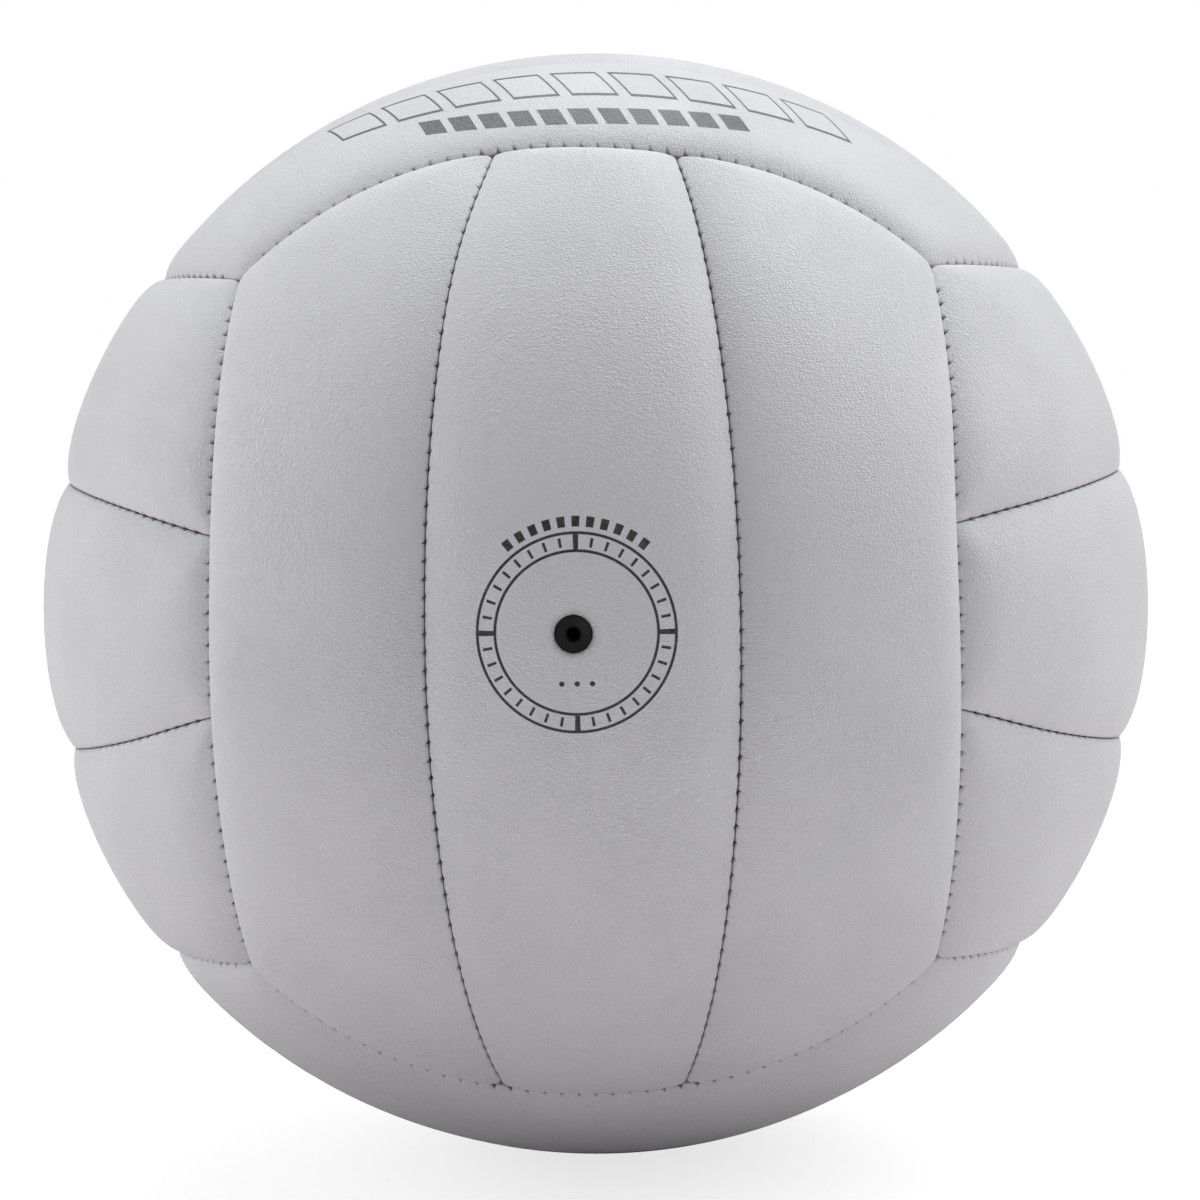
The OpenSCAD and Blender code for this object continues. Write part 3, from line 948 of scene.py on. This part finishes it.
def panel_tree():
    """The rule of a panel's surface: a crowned pillow with a lip, nicks and puckers along its seams."""
    names = [name for group in PANEL_SIZES.values() for name in group]
    tree = Tree("Padded panel", names)
    size = SimpleNamespace(**{name: tree.given(name) for name in names})
    facts = ("inset", "along", "seam", "outer", "wall", "under", "sewn", "sink", "far", "drawn")
    point = SimpleNamespace(**{name: tree.named(name) for name in facts})
    inset, seam, sewn = point.inset, point.seam, point.sewn
    out = tree.add("GeometryNodeInputPosition").vector("NORMALIZE")
    leaning = point.along + inset * size.slant
    beside = leaning.nearest(size.pitch)
    uneven = tree.noise(tree.join(point.along * 260, seam * 3, size.seed), 1.0, 1)
    strength = sewn * uneven.smooth(0.25, 0.75, 0.8, 1.2)
    from_point = 1 - (beside / size.hole_width + inset / size.hole_reach) / strength.most(0.01)
    nick = from_point.smooth(0, 0.55) * strength.least(1)
    pull = beside.bell(size.hole_width * 1.2) * strength
    ripple = tree.noise(tree.join(leaning * 900, seam * 5 + inset * 120, size.seed), 1.0)
    broad = tree.noise(tree.join(leaning * 260, seam * 9 + inset * 60, size.seed), 1.0, 1)
    wrinkle = (ripple - 0.5) * 2.4 * inset.fading(size.pucker_reach)
    swell = (broad - 0.5) * 2.6 * inset.fading(size.pucker_reach * 1.8)
    gather = beside.bell(size.pitch * 0.2) * sewn * inset.fading(size.pucker_reach * 0.4)
    wrinkles = size.pucker * ((wrinkle + swell) * (sewn * 0.7 + 0.3) + gather * 0.7)
    face = size.lip * inset.fading(size.lip_run) + nick * size.hole_depth + wrinkles
    pillow = size.valley * point.sink + size.crown * point.far.fading(size.crown_run)
    relief = pillow + point.drawn + point.under + point.outer * face
    depth = relief * (1 - point.wall) + size.edge_depth * point.wall
    apart = pull * inset.fading(size.hole_reach * 0.7) * size.opening * point.outer
    inward = tree.named("inward", "FLOAT_VECTOR")
    moved = out.scaled(size.radius - depth).vector("ADD", inward.scaled(apart))
    shaped = tree.add(
        "GeometryNodeSetPosition", {}, {"Geometry": tree.given("Geometry"), "Position": moved}
    )
    marked = tree.add(
        "GeometryNodeStoreNamedAttribute",
        {"data_type": "FLOAT", "domain": "POINT"},
        {"Geometry": shaped, "Name": "nick", "Value": nick * point.outer},
    )
    return tree.end(marked)


def seam_tree():
    """Two running threads along each seam, and a stitch through both edges at each pitch."""
    tree = Tree("Stitched seam", ["Thread", "Stitch Length"])
    geometry = tree.given("Geometry")
    thick = tree.given("Thread") / 2
    line = tree.add("GeometryNodeMeshToCurve", {}, {"Mesh": geometry})
    round_wire = tree.add("GeometryNodeCurvePrimitiveCircle", {}, {"Resolution": 6, "Radius": thick})
    strand = tree.add("GeometryNodeCurveToMesh", {}, {"Curve": line, "Profile Curve": round_wire})
    bar = tree.add(
        "GeometryNodeMeshCylinder",
        {"fill_type": "NGON"},
        {"Vertices": 8, "Side Segments": 3, "Radius": thick, "Depth": tree.given("Stitch Length")},
    )
    across = tree.named("across", "FLOAT_VECTOR")
    turned_bar = tree.add("FunctionNodeAlignEulerToVector", {"axis": "Z"}, {"Vector": across})
    stitches = tree.add(
        "GeometryNodeInstanceOnPoints",
        {},
        {"Points": geometry, "Selection": tree.named("stitch"), "Instance": bar, "Rotation": turned_bar},
    )
    both = tree.add("GeometryNodeJoinGeometry", {}, {0: strand})
    tree.tree.links.new(stitches.socket, both.socket.node.inputs[0])
    return tree.end(both)


def corner_radii(shape, side):
    """Rounding after each edge: +X side, +Y end, -X side, -Y end."""
    big, small = shape.corner, shape.joint
    return {0: [small] * 4, 1: [big, small, small, big], -1: [small, big, big, small]}[side]


def valve_hole(context, radius, loops_width):
    """A hole at the valve: its middle on the ball of radius 1, its radius and where its loops end."""
    ball = context.scene.volleyball_shape.radius
    offset = context.scene.volleyball_valve.offset
    return unit(np.array((offset, 0.0, sqrt(ball ** 2 - offset ** 2)))), radius, radius + loops_width


def panel_net(context, side, hole=None):
    """The points of a leather panel: close together along its seams, wide apart in its middle."""
    shape = context.scene.volleyball_shape
    sewing = context.scene.volleyball_sewing
    offsets = (sewing.pitch, [place * MM for place in STITCH_POINTS])
    levels = [(inset * MM, thin) for thin, insets in LOOP_INSETS.items() for inset in insets]
    edges = [e.moved(shape.seam_gap / 2 / shape.radius) for e in strip_edges(shape, side)]
    corners = corner_radii(shape, side)
    return Net(
        edges, corners, shape.radius, offsets, levels, spacing=3 * MM, row_end=sewing.row_end, hole=hole
    )


def panel_layers(net, shape):
    """A panel's outer face, turned-in edge and inner face: the points, their facts and the faces."""
    skin = shape.skin
    loop = net.loop
    bore = net.hole_loops[0] if net.hole else None
    batches = []

    def add(where, like, wall=0.0, under=0.0, outer=0.0):
        """Adds points with their facts, and gives their numbers."""
        start = sum(len(points) for points, _ in batches)
        batches.append((where, np.column_stack([like, np.tile((outer, wall, under), (len(where), 1))])))
        return list(range(start, start + len(where)))

    add(net.points, net.facts, outer=1.0)
    faces = net.skin().tolist()
    rim, facts = net.points[loop], net.facts[loop]
    inward = facts[:, COLUMNS["inward"]]
    tuck_in = 0.03 * MM
    tuck = unit(rim + inward * tuck_in / net.radius)
    inner_rim = unit(rim + inward * shape.fold / net.radius)
    # Down the outer side of the turned-in edge, round its bottom and up its inner side
    loops = [
        loop,
        add(tuck, facts, wall=0.12, outer=1.0),
        add(tuck, facts, wall=0.6),
        add(rim, facts, wall=1.0),
        add(inner_rim, facts, wall=1.0),
        add(inner_rim, facts, under=skin),
    ]
    for first, second in zip(loops, loops[1:]):
        faces += band(first, second)
    back = loops[-1] + add(*inner_spots(net, skin), under=skin)
    inner_bore = None
    if bore:
        inner_bore = add(net.points[bore], net.facts[bore], under=skin)
        middle = add(net.points[bore], net.facts[bore], under=skin / 2)
        faces += band(middle, bore) + band(inner_bore, middle)
        back += inner_bore
    everything, facts = (np.concatenate(rows) for rows in zip(*batches))
    index = {v: i for i, v in enumerate(back)}
    under = net.triangles(
        everything[back], [index[v] for v in loops[-1]], [index[v] for v in inner_bore] if bore else None
    )
    faces += [[back[a], back[c], back[b]] for a, b, c in under]
    return everything, facts, faces


def inner_spots(net, skin):
    """Wide-spaced points of a panel's inner face, clear of its edge and its hole, and their facts."""
    radii = [r for _, r in net.corners]
    coarse = Net(net.edges, radii, net.radius, (3 * MM, [0.0]), [], spacing=5 * MM, hole=net.hole)
    inner = np.setdiff1d(np.arange(len(coarse.points)), coarse.loop)
    spots, facts = coarse.points[inner], coarse.facts[inner]
    clear = np.min([e.inset(spots) * net.radius for e in net.edges], 0) > skin + 2 * MM
    if net.hole:
        clear &= np.linalg.norm(spots - net.hole[0], axis=1) * net.radius > net.hole[1] + 2.5 * MM
    return spots[clear], facts[clear]


def panel_facts(net, shape, strip, points, facts):
    """What a panel's points say of themselves to the rule of its surface."""
    store = {key: facts[:, column] for key, column in COLUMNS.items()}
    strength = np.array([CRISPNESS[crisp][2] for crisp in crispness(strip)])
    store["sewn"] = store["sewn"] * strength[store["seam"].astype(int)]
    store["seam"] = store["seam"] + 10 * strip.rank
    store["inward"] = turned(strip.group, store["inward"])
    store["sink"] = sinking(net, points, strip, shape)
    store["far"] = gap_to_edges(net, points, shape.crown_run)
    store["drawn"] = np.zeros(len(points))
    if net.hole:
        away = np.linalg.norm(points - net.hole[0], axis=1) * net.radius - net.hole[1]
        for deep, run in HOLE_FALLS:
            store["drawn"] += deep * np.exp(-np.maximum(away, 0) / run)
    return store


def build_panel(context, strip, net, tree, material):
    """One leather panel, shaped by the rule of its surface."""
    shape = context.scene.volleyball_shape
    points, facts, faces = panel_layers(net, shape)
    store = panel_facts(net, shape, strip, points, facts)
    done = [key for key in store if key != "inset"]
    store["chart"] = charted(net, points, strip)
    places = warp(turned(strip.group, points)) * net.radius
    piece = new_piece(f"{strip.name}_cover", places, faces, store)
    piece.data.materials.append(material)
    values = {
        size: float(getattr(getattr(context.scene, key), size))
        for key, sizes in PANEL_SIZES.items()
        for size in sizes
    }
    tree.apply(piece, {**values, "Material": material})
    for key in done:
        if key in piece.data.attributes:
            piece.data.attributes.remove(piece.data.attributes[key])
    return piece


def charted(net, points, strip):
    """The points laid flat, with a third number that sets each panel's grain apart."""
    return np.column_stack([net.chart(points), np.full(len(points), 0.37 * strip.rank)])


def slab(context, name, strip, net, top, thick, follows=True):
    """A closed slab this far below the leather's face, which follows its valleys if told to."""
    shape = context.scene.volleyball_shape
    points = net.points
    sink = sinking(net, points, strip, shape, shape.pad_inset)
    far = gap_to_edges(net, points, shape.crown_run) + shape.pad_inset
    dip = np.minimum(shape.valley * sink + shape.crown * np.exp(-far / shape.crown_run), 0.8 * thick)
    over = warp(turned(strip.group, points))
    upper = over * (net.radius - top - dip * follows)[:, None]
    lower = over * (net.radius - top - thick)
    count = len(points)
    faces = net.skin()
    rims = [net.loop] + ([net.hole_loops[0][::-1]] if net.hole else [])
    sides = [quad for rim in rims for quad in band(rim, [v + count for v in rim])]
    every_face = faces.tolist() + (faces[:, ::-1] + count).tolist() + sides
    chart = np.tile(charted(net, points, strip), (2, 1))
    piece = new_piece(name, np.concatenate([upper, lower]), every_face, {"chart": chart})
    piece.data.shade_smooth()
    return piece


def inner_net(context, side, hole=None):
    """The points of a pad or a lining, set in from the seams."""
    shape = context.scene.volleyball_shape
    inset = shape.pad_inset
    edges = [e.moved(inset / shape.radius) for e in strip_edges(shape, side)]
    levels = [(depth * MM, 1) for depth in (0.6, 1.4, 2.6)]
    corners = [max(r - inset, 1.2 * MM) for r in corner_radii(shape, side)]
    return Net(edges, corners, shape.radius, (2 * MM, [0.0]), levels, spacing=4 * MM, hole=hole)


def flat_area(net):
    """Area of a panel's outline on the ball, less its hole, in square metres."""
    faces = net.skin()
    a, b, c = (net.points[faces[:, k]] * net.radius for k in range(3))
    return float(np.linalg.norm(np.cross(b - a, c - a), axis=1).sum() / 2)


def joint_turn(shape):
    """Turn along a border seam from its middle to where a strip seam of the next group meets it."""
    lean, tilt = shape.border_lean, shape.strip_lean
    rise = border_rise(shape)
    across = sqrt(1 - rise * rise) * sqrt(cos(tilt) ** 2 + (sin(tilt) * sin(lean)) ** 2)
    return asin(rise * sin(tilt) * cos(lean) / across) + atan2(sin(tilt) * sin(lean), cos(tilt))


def seam_lines(context, group, kind):
    """The lines of running thread of two seams, and a loose point for each stitch."""
    shape = context.scene.volleyball_shape
    sewing = context.scene.volleyball_sewing
    points, lines, stitch, across = [], [], [], []

    def add(spots, is_stitch, direction):
        points.extend(warp(turned(group, spots)) * (shape.radius - sewing.thread_depth))
        stitch.extend([is_stitch] * len(spots))
        across.extend([direction] * len(spots))

    for side in (1, -1):
        edges = strip_edges(shape, side)
        edge = edges[0 if (kind == "border") == (side > 0) else 2]
        step = shape.radius * edge.ring
        stops = sorted(edge.turn(meeting(edge, edges[i])) for i in (1, 3))
        if kind == "border":
            stops = [stops[0], -joint_turn(shape), joint_turn(shape), stops[1]]
        for low, high in zip(stops, stops[1:]):
            rest = sewing.row_end + 1.2 * MM
            first = ceil((low * step + rest) / sewing.pitch)
            last = int((high * step - rest) // sewing.pitch)
            turns = np.arange(first * 4, last * 4 + 1) * sewing.pitch / 4 / step
            for away in (-1, 1):
                start = len(points)
                lines += [(start + k, start + k + 1) for k in range(len(turns) - 1)]
                offset = away * (shape.fold + 0.35 * MM) / shape.radius
                add(edge.at(turns, offset), False, (0.0, 0.0, 1.0))
            add(edge.at(turns[::4]), True, turned(group, edge.normal))
    facts = {"stitch": np.array(stitch), "across": np.array(across)}
    return new_piece(f"{group}_{kind}_seam", points, [], facts, lines)


class VOLLEYBALL_OT_panels(bpy.types.Operator):
    """Build the eighteen leather panels"""

    bl_idname = "volleyball.panels"
    bl_label = "Leather panels"

    def execute(self, context):
        shape = context.scene.volleyball_shape
        look = context.scene.volleyball_leather
        valve = context.scene.volleyball_valve
        plain = leather_material("leather", look, shape)
        marked = {
            VALVE_STRIP: leather_material(
                "leather_round_valve", look, shape,
                lambda place: valve_marks(place, valve), look.ink[:],
            ),
            "top_front": leather_material(
                "leather_top", look, shape,
                lambda place: top_marks(place, shape), look.grey_ink[:],
            ),
        }
        tree = panel_tree()
        nets = {side: panel_net(context, side) for side in (-1, 0, 1)}
        holed = panel_net(context, 0, valve_hole(context, valve.hole, 3.5 * MM))
        for strip in strips():
            net = holed if strip.name == VALVE_STRIP else nets[strip.side]
            material = marked.get(strip.name, plain)
            piece = build_panel(context, strip, net, tree, material)
            finish_piece(piece, material, f"{strip.name}_panel")
        return {"FINISHED"}


class VOLLEYBALL_OT_padding(bpy.types.Operator):
    """Build the foam pads and the cloth linings under the panels"""

    bl_idname = "volleyball.padding"
    bl_label = "Foam and linings"

    def execute(self, context):
        shape = context.scene.volleyball_shape
        foam = foam_material()
        cloth = cloth_material("lining", (0.78, 0.76, 0.70), (0.68, 0.66, 0.60), 0.6 * MM)
        nets = {side: inner_net(context, side) for side in (-1, 0, 1)}
        valve = context.scene.volleyball_valve
        foam_bore = inner_net(context, 0, valve_hole(context, valve.foam_hole, 3.1 * MM))
        lining_bore = inner_net(context, 0, valve_hole(context, valve.lining_hole, 3.2 * MM))
        foam_top = shape.skin + shape.layer_gap
        lining_top = foam_top + shape.padding + shape.layer_gap
        for strip in strips():
            name, holed = strip.name, strip.name == VALVE_STRIP
            net = foam_bore if holed else nets[strip.side]
            pad = slab(context, f"{name}_pad", strip, net, foam_top, shape.padding)
            finish_piece(pad, foam, f"{name}_foam")
            net = lining_bore if holed else nets[strip.side]
            sheet = slab(context, f"{name}_cloth", strip, net, lining_top, shape.lining, follows=False)
            finish_piece(sheet, cloth, f"{strip.group}_lining")
            flat = np.ptp(net.chart(net.points), 0).tolist()
            flat_area(net)
        return {"FINISHED"}


class VOLLEYBALL_OT_seams(bpy.types.Operator):
    """Build the thread of every seam"""

    bl_idname = "volleyball.seams"
    bl_label = "Seams"

    def execute(self, context):
        material = thread_material()
        tree = seam_tree()
        values = {
            "Thread": context.scene.volleyball_sewing.thread,
            "Stitch Length": 2 * (context.scene.volleyball_shape.fold + 0.4 * MM),
            "Material": material,
        }
        for group in GROUPS:
            for kind in ("strip", "border"):
                piece = seam_lines(context, group, kind)
                tree.apply(piece, values)
                finish_piece(piece, material, f"{group}_{kind}_thread")
        return {"FINISHED"}


class VOLLEYBALL_OT_valve(bpy.types.Operator):
    """Give the bladder and the valve their rubber and cloth"""

    bl_idname = "volleyball.valve"
    bl_label = "Bladder and valve"

    def execute(self, context):
        look = context.scene.volleyball_valve
        rubber = rubber_material("valve_rubber", look.rubber[:], (0.035, 0.035, 0.035))
        finishes = {
            "valve_core": rubber,
            "valve_housing": rubber,
            "bladder": rubber_material("bladder_rubber", (0.045, 0.045, 0.05), (0.10, 0.10, 0.105)),
            "valve_patch": cloth_material(
                "valve_patch_cloth", (0.52, 0.52, 0.52), (0.42, 0.42, 0.43), 0.7 * MM, charted=False
            ),
        }
        for name, material in finishes.items():
            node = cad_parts[name]
            node.data.materials.clear()
            node.data.materials.append(material)
        return {"FINISHED"}


class VOLLEYBALL_OT_stage(bpy.types.Operator):
    """Set the camera, the floor and the light"""

    bl_idname = "volleyball.stage"
    bl_label = "Stage"

    def execute(self, context):
        look = context.scene.volleyball_stage
        context.scene.view_settings.view_transform = "Standard"
        self.camera(context.scene, look)
        self.floor(look, -context.scene.volleyball_shape.radius)
        self.light(context.scene, look)
        return {"FINISHED"}

    def camera(self, scene, look):
        """A camera in front of the ball, aimed a little beside the ball's middle."""
        lens = bpy.data.cameras.new("camera")
        lens.lens = look.lens
        lens.sensor_width = 36
        lens.clip_start, lens.clip_end = 0.01, 50
        camera = bpy.data.objects.new("camera", lens)
        scene.collection.objects.link(camera)
        twist = Vector((look.pitch, look.roll, look.turn))
        back = Matrix.Rotation(twist.length, 3, twist.normalized()).transposed()
        right, ahead, up = (back @ Vector(v) for v in ((1, 0, 0), (0, 1, 0), (0, 0, 1)))
        aim = Matrix((right, up, -ahead)).transposed()
        focus = look.lens / lens.sensor_width * PICTURE_WIDTH
        sideways = Matrix.Rotation(atan2(look.left, focus), 3, "Y")
        offset = sideways @ Matrix.Rotation(-atan2(look.low, focus), 3, "X")
        turn = (aim @ offset.inverted()).to_4x4()
        camera.matrix_world = Matrix.Translation(-ahead * look.distance) @ turn
        scene.camera = camera

    def floor(self, look, height):
        """A wide pale floor that keeps the ball's shadow, and looks white to the camera."""
        material, graph = new_material("floor")
        rays = graph.add("ShaderNodeLightPath", {}, {}, "Is Camera Ray")
        speck = graph.noise(graph.place(), 30)
        pale = look.floor
        shade = graph.mix(speck, (pale * 1.03, pale * 0.99, pale), (pale, pale * 0.96, pale * 0.97))
        matt = graph.add("ShaderNodeBsdfDiffuse", {}, {"Color": shade})
        white = graph.add("ShaderNodeEmission", {}, {"Color": (1, 1, 1, 1), "Strength": look.glow})
        graph.show(graph.add("ShaderNodeMixShader", {}, {0: rays * look.veil, 1: matt, 2: white}))
        reach = 30.0
        corners = [(x * reach, y * reach, height) for x, y in ((-1, -1), (1, -1), (1, 1), (-1, 1))]
        floor = new_piece("floor", corners, [(0, 1, 2, 3)])
        floor.data.materials.append(material)

    def light(self, scene, look):
        """A room of soft lamps behind and over the ball, which is plain white to the camera."""
        world = bpy.data.worlds.new("room")
        scene.world = world
        world.use_nodes = True
        world.node_tree.nodes.clear()
        graph = Graph(world.node_tree)
        place = graph.add("ShaderNodeTexCoord", {}, {}, "Generated")
        _, _, z = place.parts()
        room = 0
        for height, turn, strength in SOFT_LAMPS:
            height, turn = radians(height), radians(turn)
            toward = (sin(turn) * cos(height), cos(turn) * cos(height), sin(height))
            lamp = place.vector("DOT_PRODUCT", toward, out=1).smooth(LAMP_EDGE, 1)
            room = lamp * (strength * look.lamps) + room
        tint = graph.mix(z.smooth(-0.1, 0.7), (1.0, 0.975, 0.985), (0.99, 1.0, 1.0))
        dim = graph.add("ShaderNodeBackground", {}, {"Color": tint, "Strength": room})
        bright = graph.add("ShaderNodeBackground", {}, {"Color": (1, 1, 1, 1), "Strength": 1.0})
        seen = graph.add("ShaderNodeLightPath", {}, {}, "Is Camera Ray")
        graph.show(graph.add("ShaderNodeMixShader", {}, {0: seen, 1: dim, 2: bright}), "World")


class VOLLEYBALL_PT_panel(bpy.types.Panel):
    """Lists the sizes, the colours and the steps"""

    bl_idname = "VOLLEYBALL_PT_panel"
    bl_label = "Volleyball"
    bl_space_type = "VIEW_3D"
    bl_region_type = "UI"
    bl_category = "Volleyball"

    def draw(self, context):
        for key, group in GROUPS_OF_SIZES.items():
            box = self.layout.box()
            box.label(text=group.__doc__)
            for name in group.__annotations__:
                box.prop(getattr(context.scene, key), name)
        for step in STEPS:
            self.layout.operator(step.bl_idname)


GROUPS_OF_SIZES = {
    "volleyball_shape": BallShape,
    "volleyball_sewing": Sewing,
    "volleyball_leather": LeatherLook,
    "volleyball_valve": ValveLook,
    "volleyball_stage": StageLook,
}
STEPS = (
    VOLLEYBALL_OT_stage,
    VOLLEYBALL_OT_panels,
    VOLLEYBALL_OT_padding,
    VOLLEYBALL_OT_seams,
    VOLLEYBALL_OT_valve,
)
CLASSES = (*GROUPS_OF_SIZES.values(), *STEPS, VOLLEYBALL_PT_panel)


def register():
    for each in CLASSES:
        bpy.utils.register_class(each)
    for key, group in GROUPS_OF_SIZES.items():
        setattr(bpy.types.Scene, key, PointerProperty(type=group))


def unregister():
    for key in GROUPS_OF_SIZES:
        delattr(bpy.types.Scene, key)
    for each in reversed(CLASSES):
        bpy.utils.unregister_class(each)


def main():
    register()
    bpy.ops.volleyball.stage()
    bpy.ops.volleyball.panels()
    bpy.ops.volleyball.padding()
    bpy.ops.volleyball.seams()
    bpy.ops.volleyball.valve()


if __name__ == "__main__":
    main()
